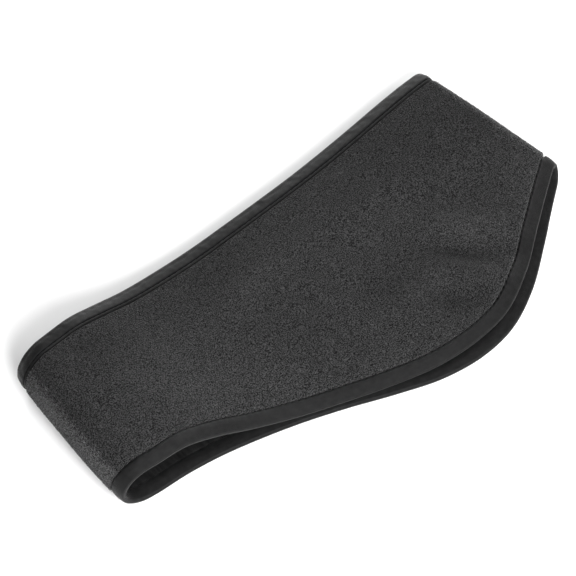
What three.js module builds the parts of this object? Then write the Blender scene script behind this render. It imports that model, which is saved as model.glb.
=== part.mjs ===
// Ear warmer headband, laid flat: a closed loop of thick fleece, deeper over the ears, with a
// stretch tape folded over each of its two edges. X runs from the front fold to the back fold,
// Y across the band towards its upper edge, Z up. The loop lies on its lower layer.
import * as THREE from "three";

// Driving dimensions, mm
const flatLength = 247; // fold to fold, along the lower edge
const earReach = 80.5; // from the length axis down to the lower edge, where it is deepest
const topReach = 42.5; // from the length axis up to the upper edge, at the back fold
const fleeceWall = 3.2;
const pressedWall = 1.4; // the fleece where the tape presses it
const lowerFace = 6.4; // how far each leg of the lower edge's tape reaches in from the edge
const upperFace = 7.9; // the same at the upper edge
const tapeWall = 0.6;
const tapeRound = 1.6; // how far in the tape's folded edge is rounded
const sewnGap = 0.3; // between the tape and the fleece it wraps
const grooveWidth = 1.4; // over which the fleece swells from the tape to its full thickness
const frontHollow = 20.5; // clear height inside the rolled front fold
const backHollow = 4.9; // clear height inside the back fold and over the ear
const layerSlip = 3.6; // how far the lower layer shows beyond the upper one
const crownRise = 3.6; // how far the upper layer arches up between its two taped edges
const frontBarrel = 1.4; // how far the front fold bulges outwards between its two ends
const backWaist = 1.3; // how far the back fold is drawn in between its two ends
const frontLean = 3.5; // how much further out the lower end of the front fold lies
const backLean = 11; // the same at the back fold

// How the arch falls to the taped edges: 2 is an even bow, more keeps the middle flatter
const archPower = 3;

// Half thickness over the tape, and of the thicker of tape and fleece
const tapeHalf = pressedWall / 2 + sewnGap + tapeWall;
const layerHalf = Math.max(fleeceWall / 2, tapeHalf);

// Mesh fineness
const turnSteps = 72;
const fieldRows = 8;
const foldFaces = 4; // faces round the tape's folded edge
const probeStep = 1e-4;

// One row for each section, from the front fold to the back fold.
// along: share of the flat length
// depth: lower edge of the lower layer, share of earReach
// slip: how far the upper layer's lower edge stands back from it, share of layerSlip
// height: upper edge, share of topReach
// frontLift: hollow under the upper layer, share of frontHollow
// earLift, topLift: more hollow at the lower and the upper edge, shares of backHollow
const sections = [
  { along: 0.0, depth: 0.465, slip: 0.0, height: 0.855, frontLift: 0.96, earLift: 0.0, topLift: 0.0 },
  { along: 0.06, depth: 0.494, slip: 0.0, height: 0.865, frontLift: 1.0, earLift: 0.0, topLift: 0.0 },
  { along: 0.12, depth: 0.511, slip: 0.0, height: 0.875, frontLift: 0.97, earLift: 0.0, topLift: 0.0 },
  { along: 0.18, depth: 0.543, slip: 0.0, height: 0.885, frontLift: 0.7, earLift: 0.0, topLift: 0.1 },
  { along: 0.24, depth: 0.59, slip: 0.0, height: 0.89, frontLift: 0.36, earLift: 0.05, topLift: 0.5 },
  { along: 0.32, depth: 0.667, slip: 0.0, height: 0.89, frontLift: 0.1, earLift: 0.1, topLift: 0.9 },
  { along: 0.4, depth: 0.761, slip: 0.15, height: 0.885, frontLift: 0.0, earLift: 0.28, topLift: 1.0 },
  { along: 0.48, depth: 0.867, slip: 0.4, height: 0.88, frontLift: 0.0, earLift: 0.5, topLift: 1.0 },
  { along: 0.56, depth: 0.959, slip: 0.75, height: 0.88, frontLift: 0.0, earLift: 0.8, topLift: 1.0 },
  { along: 0.64, depth: 1.0, slip: 1.05, height: 0.885, frontLift: 0.0, earLift: 1.0, topLift: 1.0 },
  { along: 0.72, depth: 0.978, slip: 1.2, height: 0.905, frontLift: 0.0, earLift: 1.0, topLift: 1.0 },
  { along: 0.8, depth: 0.875, slip: 1.4, height: 0.935, frontLift: 0.0, earLift: 1.0, topLift: 1.0 },
  { along: 0.88, depth: 0.714, slip: 1.45, height: 0.97, frontLift: 0.0, earLift: 1.0, topLift: 1.0 },
  { along: 0.94, depth: 0.582, slip: 1.25, height: 0.99, frontLift: 0.0, earLift: 0.95, topLift: 1.0 },
  { along: 1.0, depth: 0.455, slip: 1.05, height: 1.0, frontLift: 0.0, earLift: 0.85, topLift: 0.9 },
];

// A column's slope at a row, from its neighbours
function slopeAt(row, column) {
  const before = sections[Math.max(row - 1, 0)];
  const after = sections[Math.min(row + 1, sections.length - 1)];
  return (after[column] - before[column]) / (after.along - before.along);
}

// A column's value at any share of the length, on a smooth curve through the rows
function sectionValue(along, column) {
  let row = 0;
  while (row < sections.length - 2 && along > sections[row + 1].along) {
    row += 1;
  }
  const here = sections[row];
  const next = sections[row + 1];
  const span = next.along - here.along;
  const t = (along - here.along) / span;
  const rise = t * t * (3 - 2 * t);
  const leave = t * (1 - t) * (1 - t) * span * slopeAt(row, column);
  const arrive = t * t * (1 - t) * span * slopeAt(row + 1, column);
  return here[column] + (next[column] - here[column]) * rise + leave - arrive;
}

// 0 at a fold's tip, 1 where the layer has left the turn, along a quarter ellipse
function turnedShare(distance, depth) {
  const left = Math.max(1 - distance / depth, 0);
  return Math.sqrt(Math.max(1 - left * left, 0));
}

// The band's mid-surface. turn goes once round the loop: 0 at the front fold, then the upper
// layer, 0.5 at the back fold, then the lower layer. across goes from the lower edge to the upper.
function bandPoint(turn, across) {
  const angle = 2 * Math.PI * turn;
  const along = (1 - Math.cos(angle)) / 2;
  const layer = Math.sin(angle) < 0 ? -1 : 1;
  const middle = 1 - Math.abs(2 * across - 1) ** archPower;
  const frontEnd = -flatLength / 2 + frontLean * across - frontBarrel * middle;
  const backEnd = flatLength / 2 - backLean * across - backWaist * middle;
  const x = THREE.MathUtils.lerp(frontEnd, backEnd, along);

  const edgeLift = THREE.MathUtils.lerp(
    sectionValue(along, "earLift"),
    sectionValue(along, "topLift"),
    across,
  );
  const hollow = frontHollow * sectionValue(along, "frontLift") + backHollow * edgeLift;
  const rise = 2 * layerHalf + hollow + crownRise * middle;
  const frontTurn = frontHollow / 2 + layerHalf;
  const backTurn = backHollow / 2 + layerHalf;
  const turned =
    turnedShare(x - frontEnd, frontTurn) * turnedShare(backEnd - x, backTurn) * layer;

  const slip = layerSlip * sectionValue(along, "slip") * (1 + turned) / 2;
  const lowerEdge = slip - earReach * sectionValue(along, "depth");
  const upperEdge = topReach * sectionValue(along, "height");
  const y = THREE.MathUtils.lerp(lowerEdge, upperEdge, across);
  const z = layerHalf + rise * (1 + turned) / 2;
  return new THREE.Vector3(x, y, z);
}

function bandSlopes(turn, across) {
  const low = Math.max(across - probeStep, 0);
  const high = Math.min(across + probeStep, 1);
  const round = bandPoint(turn + probeStep, across).sub(bandPoint(turn - probeStep, across));
  const over = bandPoint(turn, high).sub(bandPoint(turn, low));
  return { round: round.divideScalar(2 * probeStep), over: over.divideScalar(high - low) };
}

// A point at a height off the mid-surface, positive outside the loop
function offsetPoint(turn, across, height) {
  const { round, over } = bandSlopes(turn, across);
  const outward = round.cross(over).normalize();
  return bandPoint(turn, across).addScaledVector(outward, height);
}

// The share across at a distance in from an edge, measured square to that edge
function acrossFromEdge(turn, edge, inset) {
  const { round, over } = bandSlopes(turn, edge);
  const squareWidth = round.clone().cross(over).length() / round.length();
  return edge === 0 ? inset / squareWidth : 1 - inset / squareWidth;
}

// A closed ring of points swept once round the loop, as one closed surface
function sweepRound(ringAt) {
  const positions = [];
  const faces = [];
  const ringSize = ringAt(0).length;
  for (let step = 0; step < turnSteps; step += 1) {
    for (const point of ringAt(step / turnSteps)) {
      positions.push(point.x, point.y, point.z);
    }
    const here = step * ringSize;
    const next = ((step + 1) % turnSteps) * ringSize;
    for (let i = 0; i < ringSize; i += 1) {
      const j = (i + 1) % ringSize;
      faces.push(here + i, next + i, next + j);
      faces.push(here + i, next + j, here + j);
    }
  }
  const geometry = new THREE.BufferGeometry();
  geometry.setAttribute("position", new THREE.Float32BufferAttribute(positions, 3));
  geometry.setIndex(faces);
  geometry.computeVertexNormals();
  return geometry;
}

// The face of the tape over an edge, edge 0 the lower one and edge 1 the upper one
function tapeFace(edge) {
  return edge === 0 ? lowerFace : upperFace;
}

// Fleece: full thickness in the open, pressed thin inside each tape, rounded at its cut edges
function fleeceRing(turn) {
  const cutEdge = tapeWall + sewnGap;
  const edgeRows = (edge) => [
    { inset: cutEdge + sewnGap, half: pressedWall / 2 },
    { inset: tapeFace(edge) + sewnGap, half: pressedWall / 2 },
    { inset: tapeFace(edge) + sewnGap + grooveWidth, half: fleeceWall / 2 },
  ];
  const rowsFrom = (edge) =>
    edgeRows(edge).map((row) => ({ across: acrossFromEdge(turn, edge, row.inset), half: row.half }));
  const lowerRows = rowsFrom(0);
  const upperRows = rowsFrom(1).reverse();
  const openRows = [];
  for (let row = 1; row < fieldRows; row += 1) {
    const across = THREE.MathUtils.lerp(lowerRows.at(-1).across, upperRows[0].across, row / fieldRows);
    openRows.push({ across, half: fleeceWall / 2 });
  }
  const rows = [...lowerRows, ...openRows, ...upperRows];
  return [
    offsetPoint(turn, acrossFromEdge(turn, 0, cutEdge), 0),
    ...rows.map((row) => offsetPoint(turn, row.across, row.half)),
    offsetPoint(turn, acrossFromEdge(turn, 1, cutEdge), 0),
    ...rows.reverse().map((row) => offsetPoint(turn, row.across, -row.half)),
  ];
}

// Tape: a narrow channel folded over one edge
function tapeRing(turn, edge) {
  const face = tapeFace(edge);
  const insideHalf = tapeHalf - tapeWall;
  const section = [{ inset: face, height: tapeHalf }];
  for (let step = 0; step <= foldFaces; step += 1) {
    const angle = Math.PI * (0.5 - step / foldFaces);
    section.push({
      inset: tapeRound * (1 - Math.cos(angle)),
      height: tapeHalf * Math.sin(angle),
    });
  }
  section.push(
    { inset: face, height: -tapeHalf },
    { inset: face, height: -insideHalf },
    { inset: tapeWall + sewnGap, height: -insideHalf },
    { inset: tapeWall, height: 0 },
    { inset: tapeWall + sewnGap, height: insideHalf },
    { inset: face, height: insideHalf },
  );
  const ring = section.map((corner) =>
    offsetPoint(turn, acrossFromEdge(turn, edge, corner.inset), corner.height),
  );
  return edge === 0 ? ring.reverse() : ring;
}

const fleeceMaterial = new THREE.MeshStandardMaterial({ color: 0x3a3a3b, roughness: 0.95, metalness: 0 });
const tapeMaterial = new THREE.MeshStandardMaterial({ color: 0x29292b, roughness: 0.75, metalness: 0 });

function namedMesh(name, geometry, material) {
  const mesh = new THREE.Mesh(geometry, material);
  mesh.name = name;
  return mesh;
}

const headband = new THREE.Group();
headband.add(namedMesh("fleece_band", sweepRound(fleeceRing), fleeceMaterial));
headband.add(namedMesh("top_binding", sweepRound((turn) => tapeRing(turn, 1)), tapeMaterial));
headband.add(namedMesh("bottom_binding", sweepRound((turn) => tapeRing(turn, 0)), tapeMaterial.clone()));

// The origin is the bottom centre of the whole, at the height of the surface it lies on
const extent = new THREE.Box3().setFromObject(headband);
const middle = extent.getCenter(new THREE.Vector3());
headband.position.set(-middle.x, -middle.y, -extent.min.z);

export default headband;
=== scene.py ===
# Ear warmer headband lying flattened: charcoal fleece, smooth tape folded over both edges
import math
import bpy
import numpy as np
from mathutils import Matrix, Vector, noise


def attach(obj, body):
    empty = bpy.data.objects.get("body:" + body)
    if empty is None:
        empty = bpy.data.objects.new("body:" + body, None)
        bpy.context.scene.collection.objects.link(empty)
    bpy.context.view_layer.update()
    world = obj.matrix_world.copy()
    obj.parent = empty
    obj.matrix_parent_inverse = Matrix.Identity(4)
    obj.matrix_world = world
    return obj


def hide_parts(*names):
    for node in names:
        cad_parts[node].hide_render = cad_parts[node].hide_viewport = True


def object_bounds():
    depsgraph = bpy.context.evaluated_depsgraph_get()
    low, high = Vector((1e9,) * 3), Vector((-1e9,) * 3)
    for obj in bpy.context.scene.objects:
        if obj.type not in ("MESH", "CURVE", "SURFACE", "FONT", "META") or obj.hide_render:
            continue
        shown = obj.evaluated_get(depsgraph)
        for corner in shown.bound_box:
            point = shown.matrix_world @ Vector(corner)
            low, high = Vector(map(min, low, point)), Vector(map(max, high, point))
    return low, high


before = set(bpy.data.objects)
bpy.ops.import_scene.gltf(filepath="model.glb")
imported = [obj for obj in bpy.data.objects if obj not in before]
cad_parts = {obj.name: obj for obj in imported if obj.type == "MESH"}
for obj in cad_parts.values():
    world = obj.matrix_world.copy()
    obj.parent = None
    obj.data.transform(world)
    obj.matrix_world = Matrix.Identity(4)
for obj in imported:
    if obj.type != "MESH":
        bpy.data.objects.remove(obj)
cadBounds = [list(corner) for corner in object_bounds()]
mm = 0.001
print("frame loaded")


# The band's form, in mm: the sizes and sections of the solids, but with a thinner pressed wall

bandSettings = {
    "flatLength": 247, "earReach": 80.5, "topReach": 42.5,
    "fleeceWall": 3.2, "pressedWall": 1.0,
    "lowerFace": 6.4, "upperFace": 7.9, "tapeWall": 0.6, "sewnGap": 0.3,
    "frontHollow": 20.5, "backHollow": 4.9, "layerSlip": 3.6, "crownRise": 3.6,
    "frontBarrel": 1.4, "backWaist": 1.3, "frontLean": 3.5, "backLean": 11,
    "archPower": 3,
}

# One row a section from the front fold to the back: place along, lower edge, slip of the upper
# layer, upper edge, lift of the rolled front, lift at the lower and at the upper edge
sectionColumns = ("along", "depth", "slip", "height", "frontLift", "earLift", "topLift")
sections = np.array([
    (0.00, 0.465, 0.00, 0.855, 0.96, 0.00, 0.0),
    (0.06, 0.494, 0.00, 0.865, 1.00, 0.00, 0.0),
    (0.12, 0.511, 0.00, 0.875, 0.97, 0.00, 0.0),
    (0.18, 0.543, 0.00, 0.885, 0.70, 0.00, 0.1),
    (0.24, 0.590, 0.00, 0.890, 0.36, 0.05, 0.5),
    (0.32, 0.667, 0.00, 0.890, 0.10, 0.10, 0.9),
    (0.40, 0.761, 0.15, 0.885, 0.00, 0.28, 1.0),
    (0.48, 0.867, 0.40, 0.880, 0.00, 0.50, 1.0),
    (0.56, 0.959, 0.75, 0.880, 0.00, 0.80, 1.0),
    (0.64, 1.000, 1.05, 0.885, 0.00, 1.00, 1.0),
    (0.72, 0.978, 1.20, 0.905, 0.00, 1.00, 1.0),
    (0.80, 0.875, 1.40, 0.935, 0.00, 1.00, 1.0),
    (0.88, 0.714, 1.45, 0.970, 0.00, 1.00, 1.0),
    (0.94, 0.582, 1.25, 0.990, 0.00, 0.95, 1.0),
    (1.00, 0.455, 1.05, 1.000, 0.00, 0.85, 0.9),
])

# Soft puckers of the upper layer: centre, height, length, width and turn of each.
# They rise to their full height a little way past each fold.
puckerFade = 3
puckers = [
    {"x": 65, "y": -12, "lift": 2.6, "long": 19, "wide": 6.5, "turn": -44},
    {"x": 60, "y": -22, "lift": -3.2, "long": 19, "wide": 6, "turn": -44},
    {"x": 50, "y": -29, "lift": 3.0, "long": 15, "wide": 6, "turn": -46},
    {"x": 42, "y": -37, "lift": -2.6, "long": 11, "wide": 5.5, "turn": -50},
    {"x": 26, "y": -24, "lift": 2.0, "long": 9, "wide": 6, "turn": -50},
    {"x": 30, "y": -11, "lift": -1.2, "long": 10, "wide": 7, "turn": -50},
    {"x": -93, "y": 26, "lift": -1.2, "long": 22, "wide": 10, "turn": -70},
    {"x": 0, "y": 34, "lift": 1.4, "long": 40, "wide": 14, "turn": 10},
]

# Painted light and shade on the fleece's colour, seen from above, where the lamps and the puckers make it
# look lighter or darker: centre, change, length, width and turn
paintedLightAreas = [
    {"x": 84, "y": 38, "tone": -0.15, "long": 48, "wide": 22, "turn": 0},
    {"x": 84, "y": -6, "tone": -0.06, "long": 24, "wide": 18, "turn": 0},
    {"x": 110, "y": 22, "tone": -0.12, "long": 16, "wide": 7, "turn": 80},
    {"x": 108, "y": -8, "tone": 0.14, "long": 14, "wide": 7, "turn": 75},
    {"x": -86, "y": 36, "tone": -0.2, "long": 20, "wide": 13, "turn": 10},
    {"x": -45, "y": 38, "tone": -0.12, "long": 36, "wide": 12, "turn": 0},
    {"x": -50, "y": -14, "tone": 0.12, "long": 46, "wide": 13, "turn": -35},
    {"x": -20, "y": 23, "tone": 0.18, "long": 15, "wide": 8, "turn": 20},
    {"x": 30, "y": 17, "tone": 0.1, "long": 34, "wide": 14, "turn": 0},
    {"x": 26, "y": -16, "tone": -0.14, "long": 12, "wide": 8, "turn": -50},
    {"x": 44, "y": -38, "tone": -0.12, "long": 22, "wide": 14, "turn": -44},
    {"x": 67, "y": -15, "tone": 0.24, "long": 15, "wide": 6, "turn": -44},
    {"x": 56, "y": -23, "tone": -0.25, "long": 17, "wide": 5.5, "turn": -44},
    {"x": 41, "y": -27, "tone": 0.18, "long": 9, "wide": 5, "turn": -44},
    {"x": 37, "y": -37, "tone": -0.16, "long": 8, "wide": 4.5, "turn": -44},
]

# Painted highlight along the two folds: the fleece's colour is made paler where it turns away, standing in
# for the light its edge catches
paintedFoldLight = {"tone": 0.35, "reach": 4.0}


# Smooth curve through a column
def columnAt(along, name):
    places = sections[:, 0]
    values = sections[:, sectionColumns.index(name)]
    before = np.maximum(np.arange(len(places)) - 1, 0)
    after = np.minimum(np.arange(len(places)) + 1, len(places) - 1)
    slopes = (values[after] - values[before]) / (places[after] - places[before])
    row = np.clip(np.searchsorted(places, along, side="left") - 1, 0, len(places) - 2)
    span = places[row + 1] - places[row]
    t = (along - places[row]) / span
    rise = t * t * (3 - 2 * t)
    leave = t * (1 - t) ** 2 * span * slopes[row]
    arrive = t * t * (1 - t) * span * slopes[row + 1]
    return values[row] + (values[row + 1] - values[row]) * rise + leave - arrive


# Width of the tape's face at an edge, edge 0 the lower one and edge 1 the upper one
def tapeFace(edge):
    return bandSettings["lowerFace"] if edge == 0 else bandSettings["upperFace"]


def turnedShare(distance, depth):
    left = np.maximum(1 - distance / depth, 0)
    return np.sqrt(np.maximum(1 - left * left, 0))


def bandPoint(turn, across):
    b = bandSettings
    angle = 2 * math.pi * turn
    along = (1 - np.cos(angle)) / 2
    layer = np.where(np.sin(angle) < 0, -1, 1)
    middle = 1 - np.abs(2 * across - 1) ** b["archPower"]
    frontEnd = -b["flatLength"] / 2 + b["frontLean"] * across - b["frontBarrel"] * middle
    backEnd = b["flatLength"] / 2 - b["backLean"] * across - b["backWaist"] * middle
    x = frontEnd + (backEnd - frontEnd) * along
    layerHalf = b["fleeceWall"] / 2
    edgeLift = columnAt(along, "earLift") * (1 - across) + columnAt(along, "topLift") * across
    hollow = b["frontHollow"] * columnAt(along, "frontLift") + b["backHollow"] * edgeLift
    rise = 2 * layerHalf + hollow + b["crownRise"] * middle
    turned = layer * turnedShare(x - frontEnd, b["frontHollow"] / 2 + layerHalf)
    turned = turned * turnedShare(backEnd - x, b["backHollow"] / 2 + layerHalf)
    slip = b["layerSlip"] * columnAt(along, "slip") * (1 + turned) / 2
    lowerEdge = slip - b["earReach"] * columnAt(along, "depth")
    upperEdge = b["topReach"] * columnAt(along, "height")
    y = lowerEdge + (upperEdge - lowerEdge) * across
    z = layerHalf + rise * (1 + turned) / 2
    return np.stack([x, y, z], -1)


def bandSlopes(turn, across):
    step = 1e-4
    low = np.maximum(across - step, 0)
    high = np.minimum(across + step, 1)
    around = (bandPoint(turn + step, across) - bandPoint(turn - step, across)) / (2 * step)
    over = (bandPoint(turn, high) - bandPoint(turn, low)) / (high - low)[..., None]
    return around, over


def acrossFromEdge(turn, edge, inset):
    around, over = bandSlopes(turn, np.full_like(turn, float(edge)))
    width = np.linalg.norm(np.cross(around, over), axis=-1) / np.linalg.norm(around, axis=-1)
    return inset / width if edge == 0 else 1 - inset / width


# How far inside a soft oval each point lies: 1 at its centre, falling smoothly to 0
def softOval(points, oval):
    a = math.radians(oval["turn"])
    dx = points[..., 0] - oval["x"]
    dy = points[..., 1] - oval["y"]
    u = (dx * math.cos(a) + dy * math.sin(a)) / oval["long"]
    v = (dy * math.cos(a) - dx * math.sin(a)) / oval["wide"]
    return np.exp(-u * u - v * v)


def puckerLift(points, turned):
    lift = np.zeros(points.shape[:-1])
    for pucker in puckers:
        lift += pucker["lift"] * softOval(points, pucker)
    return lift * turned


def bandOutward(turn, across):
    around, over = bandSlopes(turn, across)
    outward = np.cross(around, over)
    return outward / np.linalg.norm(outward, axis=-1, keepdims=True)


# How far the band is moved so that its middle is the middle of the solids
def findSeat():
    turnSteps, acrossSteps = 360, 13
    spin, over = np.meshgrid(np.arange(turnSteps) / turnSteps, np.linspace(0, 1, acrossSteps))
    skin = bandPoint(spin, over) + bandOutward(spin, over) * bandSettings["fleeceWall"] / 2
    middle = (skin.min((0, 1)) + skin.max((0, 1))) / 2
    solids = np.mean(cadBounds, axis=0) / mm
    return np.array([solids[0] - middle[0], solids[1] - middle[1], 0.0])


seat = findSeat()
print("band seated at", seat.round(3))


# A point off the band's mid-surface, in the frame's place, still in mm
def surfacePoint(turn, across, height):
    outward = bandOutward(turn, across)
    middle = bandPoint(turn, across) + seat
    upper = np.clip(np.sin(2 * math.pi * turn) * puckerFade, 0, 1)
    middle[..., 2] += puckerLift(middle, upper)
    return middle + outward * np.asarray(height)[..., None], outward


# Turns that lie evenly round the loop, and how far round each lies in mm
def evenTurns(count, across):
    fineSteps = 20000
    fine = np.linspace(0, 1, fineSteps + 1)
    line = bandPoint(fine, np.full_like(fine, across))
    along = np.concatenate([[0], np.cumsum(np.linalg.norm(np.diff(line, axis=0), axis=1))])
    places = np.linspace(0, along[-1], count + 1)[:-1]
    return np.interp(places, along, fine), places, along[-1]


# Rings of points swept round the loop as one closed mesh, grid[turn, ring, xyz] in mm
def sweepMesh(name, grid, uvGrid, length):
    turns, ring = grid.shape[:2]
    mesh = bpy.data.meshes.new(name)
    i, j = np.meshgrid(np.arange(turns), np.arange(ring), indexing="ij")
    ni, nj = (i + 1) % turns, (j + 1) % ring
    faces = np.stack([i * ring + j, ni * ring + j, ni * ring + nj, i * ring + nj], -1).reshape(-1, 4)
    mesh.from_pydata((grid.reshape(-1, 3) * mm).tolist(), [], faces.tolist())
    uv = np.stack([uvGrid[i, j], uvGrid[ni, j], uvGrid[ni, nj], uvGrid[i, nj]], 2).reshape(-1, 4, 2)
    last = np.repeat((i == turns - 1).reshape(-1), 2).reshape(-1, 2)
    uv[:, 1:3, 0] += np.where(last, length, 0)
    layer = mesh.uv_layers.new(name="clothUV")
    layer.data.foreach_set("uv", (uv * mm).astype(np.float32).ravel())
    mesh.polygons.foreach_set("use_smooth", np.ones(len(faces), bool))
    mesh.update()
    piece = bpy.data.objects.new(name, mesh)
    bpy.context.collection.objects.link(piece)
    return piece


# Materials


def newMaterial(name):
    mat = bpy.data.materials.new(name)
    mat.use_nodes = True
    nodes = mat.node_tree.nodes
    return mat, nodes, mat.node_tree.links, nodes["Principled BSDF"]


def addNode(nodes, kind, **values):
    node = nodes.new(kind)
    for key, value in values.items():
        if key in node.inputs:
            node.inputs[key].default_value = value
        else:
            setattr(node, key, value)
    return node


def addNoise(nodes, links, vector, scale, detail, roughness=0.5):
    texture = addNode(nodes, "ShaderNodeTexNoise", Scale=scale, Detail=detail, Roughness=roughness)
    links.new(vector, texture.inputs["Vector"])
    return texture


# Value times factor, and plus another value where one is given
def addTimes(nodes, links, value, factor, plus=None):
    node = addNode(nodes, "ShaderNodeMath", operation="MULTIPLY" if plus is None else "MULTIPLY_ADD")
    node.inputs[1].default_value = factor
    links.new(value, node.inputs[0])
    if plus is not None:
        links.new(plus, node.inputs[2])
    return node


def addRamp(nodes, links, value, ends, colors):
    ramp = addNode(nodes, "ShaderNodeValToRGB")
    for element, end, color in zip(ramp.color_ramp.elements, ends, colors):
        element.position = end
        element.color = color
    links.new(value, ramp.inputs["Fac"])
    return ramp


def addBump(nodes, links, height, distance, strength, shader):
    bump = addNode(nodes, "ShaderNodeBump", Distance=distance, Strength=strength)
    links.new(height, bump.inputs["Height"])
    links.new(bump.outputs["Normal"], shader.inputs["Normal"])


def setFinish(shader, finish):
    for socket, value in finish.items():
        shader.inputs[socket].default_value = value


# The fleece's colour follows the same noise as its bump, dark in the valleys and light on the crests:
# partly its own mottled tone, partly painted shade in the hollows
fleeceLook = {
    "valley": (0.0052, 0.0052, 0.0053, 1), "crest": (0.054, 0.054, 0.0546, 1), "ends": (0.51, 0.9),
    "pebble": 2050, "pebbleDetail": 0.6, "nap": 3400, "napShare": 0.3, "patch": 45, "patchShare": 0.02,
    "bump": 0.0007, "bumpStrength": 1.0,
    "finish": {"Roughness": 1.0, "Specular IOR Level": 0.03, "Sheen Weight": 0.13, "Sheen Roughness": 0.2},
}


def makeFleeceMaterial():
    s = fleeceLook
    mat, nodes, links, shader = newMaterial("brushedFleece")
    place = addNode(nodes, "ShaderNodeTexCoord").outputs["Object"]
    pebble = addNoise(nodes, links, place, s["pebble"], s["pebbleDetail"])
    nap = addNoise(nodes, links, place, s["nap"], 1.0)
    patch = addNoise(nodes, links, place, s["patch"], 2.0)
    both = addTimes(nodes, links, nap.outputs["Fac"], s["napShare"], pebble.outputs["Fac"])
    tone = addTimes(nodes, links, patch.outputs["Fac"], s["patchShare"], both.outputs[0])
    ramp = addRamp(nodes, links, tone.outputs[0], s["ends"], (s["valley"], s["crest"]))
    # Painted light and shade: the colour is scaled by a point attribute of painted light and shade
    napTone = addNode(nodes, "ShaderNodeAttribute", attribute_name="napTone")
    toned = addNode(nodes, "ShaderNodeVectorMath", operation="SCALE")
    links.new(ramp.outputs["Color"], toned.inputs[0])
    links.new(napTone.outputs["Fac"], toned.inputs["Scale"])
    links.new(toned.outputs[0], shader.inputs["Base Color"])
    addBump(nodes, links, both.outputs[0], s["bump"], s["bumpStrength"], shader)
    setFinish(shader, s["finish"])
    return mat


pileLooks = {
    "fleecePile": {"root": (0.012, 0.012, 0.0122, 1), "tip": (0.056, 0.056, 0.0566, 1)},
    # The fold pile is paler: a painted highlight for the light its fibres catch where the folds turn away
    "foldPile": {"root": (0.035, 0.035, 0.0353, 1), "tip": (0.2, 0.2, 0.202, 1)},
    "shade": 1400, "ends": (0.35, 0.7),
    "finish": {"Roughness": 0.95, "Specular IOR Level": 0.03, "Sheen Weight": 0.15, "Sheen Roughness": 0.3},
}


def makePileMaterial(name):
    s = pileLooks
    mat, nodes, links, shader = newMaterial(name)
    place = addNode(nodes, "ShaderNodeTexCoord").outputs["Object"]
    shade = addNoise(nodes, links, place, s["shade"], 1.0)
    colors = (s[name]["root"], s[name]["tip"])
    ramp = addRamp(nodes, links, shade.outputs["Fac"], s["ends"], colors)
    links.new(ramp.outputs["Color"], shader.inputs["Base Color"])
    setFinish(shader, s["finish"])
    return mat


# The fleece's inner face: the flatter back of the knit, with faint ribs across the band
# Its darker colour is partly the knit's own back and partly painted shade inside the loop
backLook = {
    "dark": (0.004, 0.004, 0.0041, 1), "light": (0.011, 0.011, 0.0111, 1), "ends": (0.35, 0.7),
    "ribStretch": 0.1, "ribDetail": 700, "bump": 0.0004, "bumpStrength": 0.8,
    "finish": {"Roughness": 0.9, "Specular IOR Level": 0.05},
}


def makeBackMaterial():
    s = backLook
    mat, nodes, links, shader = newMaterial("fleeceBack")
    place = addNode(nodes, "ShaderNodeUVMap", uv_map="clothUV")
    stretch = addNode(nodes, "ShaderNodeMapping", vector_type="POINT")
    stretch.inputs["Scale"].default_value = (1, s["ribStretch"], 1)
    links.new(place.outputs["UV"], stretch.inputs["Vector"])
    rib = addNoise(nodes, links, stretch.outputs["Vector"], s["ribDetail"], 1.0)
    ramp = addRamp(nodes, links, rib.outputs["Fac"], s["ends"], (s["dark"], s["light"]))
    links.new(ramp.outputs["Color"], shader.inputs["Base Color"])
    addBump(nodes, links, rib.outputs["Fac"], s["bump"], s["bumpStrength"], shader)
    setFinish(shader, s["finish"])
    return mat


# Smooth knitted tape: wales along it and courses across it, in metres, and a faint mottle
tapeLook = {
    "dark": (0.003, 0.003, 0.0031, 1), "light": (0.007, 0.007, 0.0071, 1), "ends": (0.35, 0.65),
    "wale": 0.00045, "course": 0.00036, "courseShare": 0.6,
    "mottle": 420, "mottleShare": 3.0, "bump": 0.00006, "bumpStrength": 0.55,
    "finish": {"Roughness": 0.5, "Specular IOR Level": 0.12, "Sheen Weight": 0.07, "Sheen Roughness": 0.2},
}


def makeTapeMaterial():
    s = tapeLook
    mat, nodes, links, shader = newMaterial("stretchTape")
    place = addNode(nodes, "ShaderNodeUVMap", uv_map="clothUV")
    apart = addNode(nodes, "ShaderNodeSeparateXYZ")
    links.new(place.outputs["UV"], apart.inputs[0])
    waves = []
    for axis, pitch in (("Y", s["wale"]), ("X", s["course"])):
        turns = addTimes(nodes, links, apart.outputs[axis], 2 * math.pi / pitch)
        wave = addNode(nodes, "ShaderNodeMath", operation="SINE")
        links.new(turns.outputs[0], wave.inputs[0])
        waves.append(wave.outputs[0])
    knit = addTimes(nodes, links, waves[1], s["courseShare"], waves[0])
    objectPlace = addNode(nodes, "ShaderNodeTexCoord").outputs["Object"]
    mottle = addNoise(nodes, links, objectPlace, s["mottle"], 3.0, 0.6).outputs["Fac"]
    height = addTimes(nodes, links, mottle, s["mottleShare"], knit.outputs[0])
    addBump(nodes, links, height.outputs[0], s["bump"], s["bumpStrength"], shader)
    ramp = addRamp(nodes, links, mottle, s["ends"], (s["dark"], s["light"]))
    links.new(ramp.outputs["Color"], shader.inputs["Base Color"])
    setFinish(shader, s["finish"])
    return mat


threadLook = {
    "dark": (0.003, 0.003, 0.003, 1), "light": (0.008, 0.008, 0.008, 1),
    "twist": 2500, "finish": {"Roughness": 0.5},
}


def makeThreadMaterial():
    s = threadLook
    mat, nodes, links, shader = newMaterial("sewingThread")
    place = addNode(nodes, "ShaderNodeTexCoord").outputs["Object"]
    twist = addNoise(nodes, links, place, s["twist"], 2.0)
    ramp = addRamp(nodes, links, twist.outputs["Fac"], (0, 1), (s["dark"], s["light"]))
    links.new(ramp.outputs["Color"], shader.inputs["Base Color"])
    setFinish(shader, s["finish"])
    return mat


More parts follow.
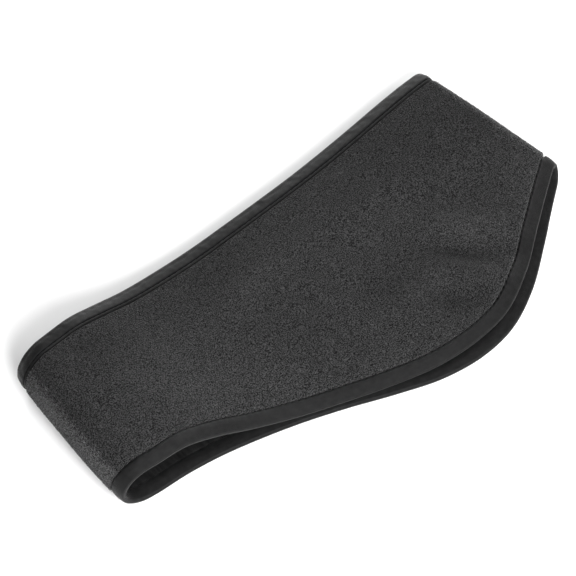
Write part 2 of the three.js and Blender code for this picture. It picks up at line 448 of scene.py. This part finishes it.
fleeceMaterial = makeFleeceMaterial()
backMaterial = makeBackMaterial()
pileMaterial = makePileMaterial("fleecePile")
foldHighlightMaterial = makePileMaterial("foldPile")
tapeMaterial = makeTapeMaterial()
threadMaterial = makeThreadMaterial()
print("materials made")


# Fleece band


# The loop opened out flat: its depth over the ear, its length round the middle, and its area
def openedCloth():
    turnSteps, acrossSteps = 720, 48
    turns = (np.arange(turnSteps) + 0.5) / turnSteps
    turn, across = np.meshgrid(turns, (np.arange(acrossSteps) + 0.5) / acrossSteps)
    around, over = bandSlopes(turn, across)
    depth = np.linalg.norm(over, axis=-1).mean(0).max() * mm
    length = evenTurns(turnSteps, 0.5)[2] * mm
    area = np.linalg.norm(np.cross(around, over), axis=-1).mean() * mm * mm
    return round(float(depth), 3), round(float(length), 3), round(float(area), 4)


clothWidth, clothLength, clothArea = openedCloth()
print("cloth opened out", clothWidth, clothLength, clothArea)

# The fleece is free to be rough where its half thickness passes freeHalf, and its brushed face
# is smooth up to restHeight above the floor, where it lies on it
fleeceSettings = {
    "turns": 480, "openRowsOut": 100, "openRowsIn": 50,
    "puffGap": 0.5, "innerPuffGap": -0.4, "puffWidth": 1.2, "cutRound": 0.35,
    "pebbleSize": 2.0, "pebbleLift": 0.05, "pebbleSeed": 7.0,
    "softSize": 19.0, "softLift": 0.25, "softSeed": 31.0,
    "freeHalf": 1.2, "freeOver": 0.4, "restHeight": 0.6, "restOver": 1.5, "floorGap": 0.02,
}
# How the rows share the width under the tape and the swell beside it
coveredShares = (0.35, 0.6, 0.85, 1.0)
puffShares = (0.02, 0.08, 0.18, 0.32, 0.5, 0.75, 1.0)


# Half thickness at a distance in from an edge: pressed by the tape, then swelling out
def fleeceHalf(edge, inset, gap):
    b, s = bandSettings, fleeceSettings
    t = np.clip((inset - tapeFace(edge) - gap) / s["puffWidth"], 0, 1)
    swell = np.sqrt(1 - (1 - t) ** 2)
    return (b["pressedWall"] + (b["fleeceWall"] - b["pressedWall"]) * swell) / 2


# Distances in from an edge of the rows that the tape covers and of those that swell out beside it
def edgeInsets(edge, gap):
    b, s = bandSettings, fleeceSettings
    cut = b["tapeWall"] + b["sewnGap"]
    puffStart = tapeFace(edge) + gap
    covered = [cut + (puffStart - cut) * share for share in coveredShares]
    swelling = [puffStart + s["puffWidth"] * share for share in puffShares]
    return [cut, cut + s["cutRound"]] + covered + swelling


# Across and half thickness of every row of one face, at every turn
def fleeceFace(turns, openRows, gap):
    low, high = edgeInsets(0, gap), edgeInsets(1, gap)
    first = acrossFromEdge(turns, 0, low[-1])
    last = acrossFromEdge(turns, 1, high[-1])
    cut = low[0]
    across, half = [], []
    for inset in low:
        across.append(acrossFromEdge(turns, 0, inset))
        half.append(0.0 if inset == cut else fleeceHalf(0, inset, gap))
    for share in np.linspace(0, 1, openRows + 2)[1:-1]:
        across.append(first + (last - first) * share)
        half.append(bandSettings["fleeceWall"] / 2)
    for inset in reversed(high):
        across.append(acrossFromEdge(turns, 1, inset))
        half.append(0.0 if inset == cut else fleeceHalf(1, inset, gap))
    return np.stack(across, 1), np.broadcast_to(half, (len(turns), len(half)))


def noiseAt(points, size, offset):
    flat = points.reshape(-1, 3) / size + offset
    values = [noise.noise(Vector(p)) for p in flat]
    return np.array(values).reshape(points.shape[:-1])


# One face of the fleece, sign 1 the brushed one and -1 the inner one, with its UV places in mm
def fleeceSide(turns, places, openRows, gap, sign):
    s = fleeceSettings
    across, half = fleeceFace(turns, openRows, gap)
    spread = np.broadcast_to(turns[:, None], across.shape)
    points, outward = surfacePoint(spread, across, sign * half)
    free = np.clip((half - s["freeHalf"]) / s["freeOver"], 0, 1)
    pebble = noiseAt(points, s["pebbleSize"], s["pebbleSeed"]) * s["pebbleLift"]
    soft = noiseAt(points, s["softSize"], s["softSeed"]) * s["softLift"]
    aloft = np.clip((points[..., 2] - s["restHeight"]) / s["restOver"], 0, 1) if sign > 0 else 1.0
    points = points + outward * (sign * (pebble + soft) * free * aloft)[..., None]
    points[..., 2] = np.maximum(points[..., 2], s["floorGap"])
    along = np.broadcast_to(places[:, None], across.shape)
    return points, np.stack([along, across * clothWidth / mm], -1)


# A point attribute with the painted light and shade that scales the fleece's colour, 1 where the colour is
# left as it is
def paintLightAndShade(piece, grid):
    x = grid[..., 0]
    fromEnds = np.minimum(x - x.min(0), x.max(0) - x)
    # Painted highlight: paler near the two folds
    tone = 1 + paintedFoldLight["tone"] * np.clip(1 - fromEnds / paintedFoldLight["reach"], 0, 1)
    # Painted light and shade, area by area
    for area in paintedLightAreas:
        tone += area["tone"] * softOval(grid, area)
    attribute = piece.data.attributes.new("napTone", "FLOAT", "POINT")
    attribute.data.foreach_set("value", tone.astype(np.float32).ravel())


def makeFleece():
    s = fleeceSettings
    turns, places, length = evenTurns(s["turns"], 0.5)
    outer, outerUV = fleeceSide(turns, places, s["openRowsOut"], s["puffGap"], 1)
    inner, innerUV = fleeceSide(turns, places, s["openRowsIn"], s["innerPuffGap"], -1)
    grid = np.concatenate([outer, inner[:, -2:0:-1]], 1)
    uvGrid = np.concatenate([outerUV, innerUV[:, -2:0:-1]], 1)
    piece = sweepMesh("fleeceBand", grid, uvGrid, length)
    piece.data.materials.append(fleeceMaterial)
    piece.data.materials.append(backMaterial)
    isInner = (np.arange(len(piece.data.polygons)) % grid.shape[1]) >= outer.shape[1]
    piece.data.polygons.foreach_set("material_index", isInner.astype(np.int32))
    paintLightAndShade(piece, grid)
    return piece


fleece = makeFleece()
print("fleece made", len(fleece.data.polygons))


# Binding tapes

# legGap tells a leg's own points from those of the channel inside it.
# quilt is how far the stitches draw the tape in and out, scallop how far its face waves.
tapeSettings = {
    "turns": 880, "roundSteps": 7, "faceSteps": 8,
    "ditchDepth": 0.95, "innerDitch": 0.3, "footWidth": 0.4,
    "lipWidth": 1.1, "lipHeight": 0.8, "lipGap": 0.1,
    "innerGap": 0.05, "innerRound": 0.6, "legGap": 0.01,
    "stitchPitch": 3.0, "quilt": 0.08, "quiltWidth": 0.9,
    "scallopSize": 2.7, "scallop": 0.32, "scallopSeed": 53.0,
}
# The lower tape lies flat with a sharp fold. The upper one is plumper and rounder, with a lip
# that turns up past its stitches.
tapeForms = (
    {"cushion": 0.2, "cushionEnd": 0.9, "shoulder": 0.35, "foldRound": 1.0, "foldHalf": 1.4, "lip": False},
    {"cushion": 0.35, "cushionEnd": 0.9, "shoulder": 0.5, "foldRound": 2.4, "foldHalf": 1.5, "lip": True},
)
shoulderShares = (0.4, 0.75, 0.93, 1.0)
lipShares = (0.0, 0.15, 0.4, 0.7, 0.9, 1.0)


# Where the stitched ditch lies: beside the lip of the outer leg, or at the leg's own end
def ditchPlace(edge, outer):
    s = tapeSettings
    lip = s["lipWidth"] + s["lipGap"] if outer and tapeForms[edge]["lip"] else 0.0
    return tapeFace(edge) - lip


# Heights of one leg of the folded tape, as (inset, height) from the fold to the leg's end
def tapeProfile(edge, outer):
    s, form = tapeSettings, tapeForms[edge]
    full = bandSettings["fleeceWall"] / 2
    floorHeight = full - (s["ditchDepth"] if outer else s["innerDitch"])
    ditch = ditchPlace(edge, outer)
    shoulder = ditch - form["shoulder"]
    points = []
    for a in np.linspace(0, math.pi / 2, s["roundSteps"] + 1)[1:]:
        points.append((form["foldRound"] * (1 - math.cos(a)), form["foldHalf"] * math.sin(a)))
    for t in np.linspace(0, 1, s["faceSteps"] + 1)[1:]:
        inset = form["foldRound"] + (shoulder - form["foldRound"]) * t
        rise = (full - form["foldHalf"]) * math.sin(math.pi / 2 * t)
        cushion = form["cushion"] * math.sin(math.pi * t * form["cushionEnd"])
        points.append((inset, form["foldHalf"] + rise + cushion))
    top = points[-1][1]
    for t in shoulderShares:
        drop = (top - floorHeight) * math.sqrt(1 - t * t)
        points.append((shoulder + form["shoulder"] * t, floorHeight + drop))
    if outer and form["lip"]:
        for t in lipShares:
            rise = s["lipHeight"] * math.sin(math.pi * t)
            points.append((ditch + s["lipGap"] + s["lipWidth"] * t, floorHeight + rise))
    if outer:
        points.append((points[-1][0] + s["footWidth"], floorHeight))
    return points


# Half thickness at which the tape's inner faces press the fleece
def tapeInnerHalf():
    return bandSettings["pressedWall"] / 2 + tapeSettings["innerGap"]


# The tape's whole section as (inset, height): outer leg, fold, inner leg and the channel between
def tapeRing(edge):
    outer, inner = tapeProfile(edge, True), tapeProfile(edge, False)
    half, wall = tapeInnerHalf(), bandSettings["tapeWall"]
    rounded = wall + tapeSettings["innerRound"]
    ring = list(reversed(outer)) + [(0.0, 0.0)]
    ring += [(inset, -height) for inset, height in inner]
    ring += [(inner[-1][0], -half), (rounded, -half), (wall, 0.0)]
    return ring + [(rounded, half), (outer[-1][0], half)]


def makeTape(name, edge):
    s = tapeSettings
    turns, places, length = evenTurns(s["turns"], float(edge))
    legHalf = tapeInnerHalf() + s["legGap"]
    shoulder = ditchPlace(edge, True) - tapeForms[edge]["shoulder"]
    beat = np.cos(2 * math.pi * places / (length / round(length / s["stitchPitch"])))
    columns, uvs = [], []
    for inset, height in tapeRing(edge):
        across = acrossFromEdge(turns, edge, inset)
        near = math.exp(-((inset - shoulder) / s["quiltWidth"]) ** 2)
        quilt = s["quilt"] * near * beat * np.sign(height) if abs(height) > legHalf else 0.0
        points, outward = surfacePoint(turns, across, height + quilt + np.zeros_like(turns))
        if tapeForms[edge]["lip"] and height > legHalf and inset < shoulder:
            free = math.sin(math.pi * min(inset / shoulder, 1.0))
            lift = noiseAt(points, s["scallopSize"], s["scallopSeed"]) * s["scallop"] * free
            points = points + outward * lift[:, None]
        points[:, 2] = np.maximum(points[:, 2], 0.0)
        columns.append(points)
        side = 1 if height >= 0 else -1
        uvs.append(np.stack([places, np.full_like(places, inset * side)], -1))
    order = -1 if edge == 0 else 1
    grid = np.stack(columns, 1)[:, ::order]
    piece = sweepMesh(name, grid, np.stack(uvs, 1)[:, ::order], length)
    piece.data.materials.append(tapeMaterial)
    return piece


topTape = makeTape("topTape", 1)
bottomTape = makeTape("bottomTape", 0)
print("tapes made")


# Stitches, by Geometry Nodes along the ditch of each tape leg

stitchSettings = {
    "pitch": tapeSettings["stitchPitch"], "length": 2.6, "thickness": 0.45, "sides": 6,
    "pathSteps": 900, "floorGap": 0.25,
}
# Place along a stitch, thickness and drop at each of its stations
threadStations = ((-0.5, 0.25, -0.5), (-0.3, 0.9, 0.0), (0.0, 1.0, 0.1), (0.3, 0.9, 0.0), (0.5, 0.25, -0.5))


# One stitch lying along X, a short thread with tucked ends
def threadShape(name):
    s = stitchSettings
    sides, radius = s["sides"], s["thickness"] / 2
    verts, faces = [], []
    for share, fat, drop in threadStations:
        for k in range(sides):
            a = 2 * math.pi * k / sides
            side = radius * fat * math.cos(a)
            up = radius * (fat * math.sin(a) + drop)
            verts.append((share * s["length"] * mm, side * mm, up * mm))
    for ring in range(len(threadStations) - 1):
        for k in range(sides):
            n = (k + 1) % sides
            a, b = ring * sides, (ring + 1) * sides
            faces.append((a + k, b + k, b + n, a + n))
    last = (len(threadStations) - 1) * sides
    faces.append(tuple(range(sides)))
    faces.append(tuple(reversed(range(last, last + sides))))
    return helperPiece(name, verts, faces)


# A smooth shape that is only there to be repeated
def helperPiece(name, verts, faces):
    mesh = bpy.data.meshes.new(name)
    mesh.from_pydata(verts, [], faces)
    mesh.polygons.foreach_set("use_smooth", np.ones(len(faces), bool))
    mesh.update()
    return bpy.data.objects.new(name, mesh)


def addSocket(tree, name, kind, way="INPUT"):
    return tree.interface.new_socket(name=name, in_out=way, socket_type=kind)


# The end of a tree: instances made real, given their material and handed out
def paintRepeats(tree, place, material):
    end = tree.nodes.new("NodeGroupOutput")
    realize = tree.nodes.new("GeometryNodeRealizeInstances")
    paint = tree.nodes.new("GeometryNodeSetMaterial")
    tree.links.new(place.outputs["Instances"], realize.inputs["Geometry"])
    tree.links.new(realize.outputs["Geometry"], paint.inputs["Geometry"])
    tree.links.new(material, paint.inputs["Material"])
    tree.links.new(paint.outputs["Geometry"], end.inputs["Geometry"])


def makeStitchTree():
    tree = bpy.data.node_groups.new("stitchRow", "GeometryNodeTree")
    addSocket(tree, "Geometry", "NodeSocketGeometry")
    addSocket(tree, "Pitch", "NodeSocketFloat")
    addSocket(tree, "Stitch", "NodeSocketObject")
    addSocket(tree, "Thread", "NodeSocketMaterial")
    addSocket(tree, "Geometry", "NodeSocketGeometry", "OUTPUT")
    nodes, links = tree.nodes, tree.links
    start = nodes.new("NodeGroupInput")
    toCurve = nodes.new("GeometryNodeMeshToCurve")
    toPoints = nodes.new("GeometryNodeCurveToPoints")
    toPoints.mode = "LENGTH"
    info = nodes.new("GeometryNodeObjectInfo")
    align = nodes.new("FunctionNodeAlignRotationToVector")
    align.axis = "X"
    sideways = nodes.new("FunctionNodeAlignRotationToVector")
    sideways.axis = "Z"
    sideways.pivot_axis = "X"
    upward = nodes.new("GeometryNodeInputNamedAttribute")
    upward.data_type = "FLOAT_VECTOR"
    upward.inputs["Name"].default_value = "outward"
    place = nodes.new("GeometryNodeInstanceOnPoints")
    links.new(start.outputs["Geometry"], toCurve.inputs["Mesh"])
    links.new(toCurve.outputs["Curve"], toPoints.inputs["Curve"])
    links.new(start.outputs["Pitch"], toPoints.inputs["Length"])
    links.new(start.outputs["Stitch"], info.inputs["Object"])
    links.new(toPoints.outputs["Tangent"], align.inputs["Vector"])
    links.new(align.outputs["Rotation"], sideways.inputs["Rotation"])
    links.new(upward.outputs["Attribute"], sideways.inputs["Vector"])
    links.new(toPoints.outputs["Points"], place.inputs["Points"])
    links.new(info.outputs["Geometry"], place.inputs["Instance"])
    links.new(sideways.outputs["Rotation"], place.inputs["Rotation"])
    paintRepeats(tree, place, start.outputs["Thread"])
    return tree


# Adds the modifier, sets its inputs, and keeps its result as the piece's own plain mesh
def runNodes(piece, tree, inputs):
    modifier = piece.modifiers.new("made", "NODES")
    modifier.node_group = tree
    for socket in tree.interface.items_tree:
        if socket.in_out == "INPUT" and socket.name in inputs:
            modifier[socket.identifier] = inputs[socket.name]
    bpy.context.view_layer.update()
    ready = piece.evaluated_get(bpy.context.evaluated_depsgraph_get())
    mesh = bpy.data.meshes.new_from_object(ready)
    mesh.name = piece.name
    piece.modifiers.remove(modifier)
    piece.data = mesh
    return piece


# The path of one row of stitches, with the surface's direction at each point
def stitchPath(name, edge, side, inset, height):
    s = stitchSettings
    turns = evenTurns(s["pathSteps"], float(edge))[0]
    across = acrossFromEdge(turns, edge, inset)
    points, outward = surfacePoint(turns, across, np.full_like(turns, side * height))
    points[:, 2] = np.maximum(points[:, 2], s["floorGap"])
    mesh = bpy.data.meshes.new(name)
    edges = [(k, (k + 1) % len(points)) for k in range(len(points))]
    mesh.from_pydata((points * mm).tolist(), edges, [])
    attribute = mesh.attributes.new("outward", "FLOAT_VECTOR", "POINT")
    attribute.data.foreach_set("vector", (outward * side).astype(np.float32).ravel())
    piece = bpy.data.objects.new(name, mesh)
    bpy.context.collection.objects.link(piece)
    return piece


# Each row: its edge, its side of the band, and its place past the ditch and off the ditch's floor
stitchRowSettings = [
    {"name": "topStitches", "edge": 1, "side": 1, "past": 0.05, "off": 0.05},
    {"name": "bottomStitches", "edge": 0, "side": 1, "past": 0.1, "off": 0.05},
    {"name": "topInnerStitches", "edge": 1, "side": -1, "past": -0.1, "off": -0.1},
    {"name": "bottomInnerStitches", "edge": 0, "side": -1, "past": -0.1, "off": -0.1},
]


def makeStitchRow(row, tree, stitch):
    outer = row["side"] > 0
    depth = tapeSettings["ditchDepth"] if outer else tapeSettings["innerDitch"]
    height = bandSettings["fleeceWall"] / 2 - depth + row["off"]
    inset = ditchPlace(row["edge"], outer) + row["past"]
    piece = stitchPath(row["name"], row["edge"], row["side"], inset, height)
    pitch = stitchSettings["pitch"] * mm
    return runNodes(piece, tree, {"Pitch": pitch, "Stitch": stitch, "Thread": threadMaterial})


runStitch = threadShape("runStitch")
stitchTree = makeStitchTree()
stitchRows = [makeStitchRow(row, stitchTree, runStitch) for row in stitchRowSettings]
print("stitches made", [len(row.data.polygons) for row in stitchRows])


# Fleece pile, by Geometry Nodes on the skin

# knee, tip and root say where a fibre bends, ends and starts, as shares of its length or in mm
pileSettings = {
    "blades": 4, "length": 0.9, "width": 0.1, "seed": 11, "lengths": (0.7, 1.1), "turnSlack": 0.6,
    "kneeOut": 0.35, "kneeUp": 0.33, "tipOut": 0.9, "tipUp": (0.25, 0.6),
    "rootOut": 0.05, "rootDown": 0.15, "tilt": 0.35, "sizes": (0.6, 1.25),
    "fieldTufts": 11000, "foldTufts": 8000, "foldReach": 4.5, "growHeight": 0.8,
}


# A small tuft of bent fibres standing on the origin
def tuftShape():
    s = pileSettings
    rng = np.random.default_rng(s["seed"])
    verts, faces = [], []
    for blade in range(s["blades"]):
        a = 2 * math.pi * (blade + rng.uniform(0, s["turnSlack"])) / s["blades"]
        way = np.array([math.cos(a), math.sin(a), 0])
        side = np.array([-way[1], way[0], 0]) * s["width"] / 2
        long = s["length"] * rng.uniform(*s["lengths"])
        root = way * s["rootOut"] - np.array([0, 0, s["rootDown"]])
        knee = way * long * s["kneeOut"] + np.array([0, 0, long * s["kneeUp"]])
        tip = way * long * s["tipOut"] + np.array([0, 0, long * rng.uniform(*s["tipUp"])])
        n = len(verts)
        for p in (root - side, root + side, knee + side, knee - side, tip):
            verts.append(tuple(p * mm))
        faces += [(n, n + 1, n + 2, n + 3), (n + 3, n + 2, n + 4)]
    return helperPiece("tuftShape", verts, faces)


def makePileTree():
    s = pileSettings
    tree = bpy.data.node_groups.new("pile", "GeometryNodeTree")
    addSocket(tree, "Geometry", "NodeSocketGeometry")
    addSocket(tree, "Skin", "NodeSocketObject")
    addSocket(tree, "Tuft", "NodeSocketObject")
    addSocket(tree, "Density", "NodeSocketFloat")
    addSocket(tree, "Where", "NodeSocketString")
    addSocket(tree, "Seed", "NodeSocketInt")
    addSocket(tree, "Fibre", "NodeSocketMaterial")
    addSocket(tree, "Geometry", "NodeSocketGeometry", "OUTPUT")
    nodes, links = tree.nodes, tree.links
    start = nodes.new("NodeGroupInput")
    skin = nodes.new("GeometryNodeObjectInfo")
    tuft = nodes.new("GeometryNodeObjectInfo")
    where = nodes.new("GeometryNodeInputNamedAttribute")
    where.data_type = "FLOAT"
    thick = nodes.new("ShaderNodeMath")
    thick.operation = "MULTIPLY"
    scatter = nodes.new("GeometryNodeDistributePointsOnFaces")
    scatter.distribute_method = "RANDOM"
    spinAngle = nodes.new("FunctionNodeRandomValue")
    spinAngle.data_type = "FLOAT_VECTOR"
    spinAngle.inputs[0].default_value = (-s["tilt"], -s["tilt"], 0)
    spinAngle.inputs[1].default_value = (s["tilt"], s["tilt"], 2 * math.pi)
    toTurn = nodes.new("FunctionNodeEulerToRotation")
    turn = nodes.new("FunctionNodeRotateRotation")
    turn.rotation_space = "LOCAL"
    size = nodes.new("FunctionNodeRandomValue")
    size.data_type = "FLOAT"
    size.inputs[2].default_value, size.inputs[3].default_value = s["sizes"]
    place = nodes.new("GeometryNodeInstanceOnPoints")
    links.new(start.outputs["Skin"], skin.inputs["Object"])
    links.new(start.outputs["Tuft"], tuft.inputs["Object"])
    links.new(start.outputs["Where"], where.inputs["Name"])
    links.new(where.outputs["Attribute"], thick.inputs[0])
    links.new(start.outputs["Density"], thick.inputs[1])
    links.new(skin.outputs["Geometry"], scatter.inputs["Mesh"])
    links.new(thick.outputs[0], scatter.inputs["Density"])
    links.new(start.outputs["Seed"], scatter.inputs["Seed"])
    links.new(start.outputs["Seed"], spinAngle.inputs["Seed"])
    links.new(start.outputs["Seed"], size.inputs["Seed"])
    links.new(spinAngle.outputs[0], toTurn.inputs["Euler"])
    links.new(scatter.outputs["Rotation"], turn.inputs["Rotation"])
    links.new(toTurn.outputs["Rotation"], turn.inputs["Rotate By"])
    links.new(scatter.outputs["Points"], place.inputs["Points"])
    links.new(tuft.outputs["Geometry"], place.inputs["Instance"])
    links.new(turn.outputs["Rotation"], place.inputs["Rotation"])
    links.new(size.outputs[1], place.inputs["Scale"])
    paintRepeats(tree, place, start.outputs["Fibre"])
    return tree


# Point attributes that say where on the skin each pile grows: on the brushed face, from the last
# rows of the swell at one tape to those at the other, and above the part that rests on the floor
def markPileAreas(piece):
    s = fleeceSettings
    place = np.zeros(len(piece.data.vertices) * 3, np.float32)
    piece.data.vertices.foreach_get("co", place)
    place = place.reshape(s["turns"], -1, 3) / mm
    edgeRows = len(edgeInsets(0, s["puffGap"]))
    swellRows = 2
    first = edgeRows - swellRows
    last = edgeRows + s["openRowsOut"] + swellRows
    field = np.zeros(place.shape[:2], np.float32)
    field[:, first:last] = 1
    field[place[..., 2] < pileSettings["growHeight"]] = 0
    low = place[..., 0].min(0)
    high = place[..., 0].max(0)
    fromEnds = np.minimum(place[..., 0] - low, high - place[..., 0])
    fold = field * np.clip(1 - fromEnds / pileSettings["foldReach"], 0, 1)
    for name, values in (("growField", field), ("growFold", fold)):
        attribute = piece.data.attributes.new(name, "FLOAT", "POINT")
        attribute.data.foreach_set("value", values.astype(np.float32).ravel())


def grownArea(piece, name):
    values = np.zeros(len(piece.data.vertices), np.float32)
    piece.data.attributes[name].data.foreach_get("value", values)
    total = 0.0
    for face in piece.data.polygons:
        total += face.area * sum(values[v] for v in face.vertices) / len(face.vertices)
    return total


# One kind of pile over the whole open fleece, and one along its two folds whose paler fibres are a painted
# highlight
pileRows = [
    {"name": "fieldPile", "where": "growField", "tufts": "fieldTufts", "seed": 3, "fibre": pileMaterial},
    {"name": "foldPile", "where": "growFold", "tufts": "foldTufts", "seed": 4, "fibre": foldHighlightMaterial},
]


def makePile(row, tree, tuft):
    pile = bpy.data.objects.new(row["name"], bpy.data.meshes.new(row["name"]))
    bpy.context.collection.objects.link(pile)
    return runNodes(pile, tree, {
        "Skin": fleece,
        "Tuft": tuft,
        "Density": pileSettings[row["tufts"]] / grownArea(fleece, row["where"]),
        "Where": row["where"],
        "Seed": row["seed"],
        "Fibre": row["fibre"],
    })


markPileAreas(fleece)
pileTree = makePileTree()
tuftObject = tuftShape()
piles = [makePile(row, pileTree, tuftObject) for row in pileRows]
for helper in (tuftObject, runStitch):
    bpy.data.objects.remove(helper)
print("pile made", [len(pile.data.polygons) for pile in piles])


# What each piece rides on and stands for

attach(fleece, "root")
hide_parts("fleece_band")
for pile in piles:
    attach(pile, "root")
for piece, node in ((topTape, "top_binding"), (bottomTape, "bottom_binding")):
    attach(piece, "root")
    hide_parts(node)
for row in stitchRows:
    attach(row, "root")


# Floor, lights and camera

floorSettings = {"reach": 6.0, "finish": {"Base Color": (0.9, 0.9, 0.9, 1), "Roughness": 0.9}}


def makeFloor():
    r = floorSettings["reach"]
    mesh = bpy.data.meshes.new("floor")
    mesh.from_pydata([(-r, -r, 0), (r, -r, 0), (r, r, 0), (-r, r, 0)], [], [(0, 1, 2, 3)])
    mat, nodes, links, shader = newMaterial("paleFloor")
    setFinish(shader, floorSettings["finish"])
    mesh.materials.append(mat)
    piece = bpy.data.objects.new("floor", mesh)
    bpy.context.collection.objects.link(piece)
    return piece


floor = makeFloor()


# Sets a camera or lamp at its distance from a centre, looking at it
def placeFacing(thing, centre, s):
    a, e = math.radians(s["azimuth"]), math.radians(s["elevation"])
    way = Vector((math.sin(a) * math.cos(e), -math.cos(a) * math.cos(e), math.sin(e)))
    thing.location = Vector(centre) + way * s["distance"]
    thing.rotation_mode = "QUATERNION"
    thing.rotation_quaternion = (-way).to_track_quat("-Z", "Y")
    bpy.context.collection.objects.link(thing)


cameraSettings = {
    "azimuth": -41.3, "elevation": 58, "distance": 1.0216,
    "lookAt": (-0.0036, 0.0188, 0.0), "lens": 148.8, "sensor": 36, "near": 0.05, "far": 50,
}


def makeCamera():
    s = cameraSettings
    data = bpy.data.cameras.new("camera")
    data.lens = s["lens"]
    data.sensor_width = s["sensor"]
    data.clip_start = s["near"]
    data.clip_end = s["far"]
    camera = bpy.data.objects.new("camera", data)
    placeFacing(camera, s["lookAt"], s)
    bpy.context.scene.camera = camera


lightSettings = [
    {"name": "frontSoft", "azimuth": -20, "elevation": 38, "distance": 0.85, "size": 0.5, "power": 14},
    {"name": "rightSoft", "azimuth": 70, "elevation": 42, "distance": 1.2, "size": 0.8, "power": 9},
    {"name": "behind", "azimuth": 138, "elevation": 13, "distance": 1.2, "size": 0.5, "power": 13},
]


def makeLight(s):
    lamp = bpy.data.lights.new(s["name"], "AREA")
    lamp.shape = "DISK"
    lamp.size = s["size"]
    lamp.energy = s["power"]
    placeFacing(bpy.data.objects.new(s["name"], lamp), (0, 0, 0), s)


makeCamera()
for lightRow in lightSettings:
    makeLight(lightRow)

worldSettings = {"Color": (1, 1, 1, 1), "Strength": 0.36}
world = bpy.data.worlds.new("studio")
bpy.context.scene.world = world
world.use_nodes = True
setFinish(world.node_tree.nodes["Background"], worldSettings)
bpy.context.scene.view_settings.view_transform = "Standard"
print("stage set")
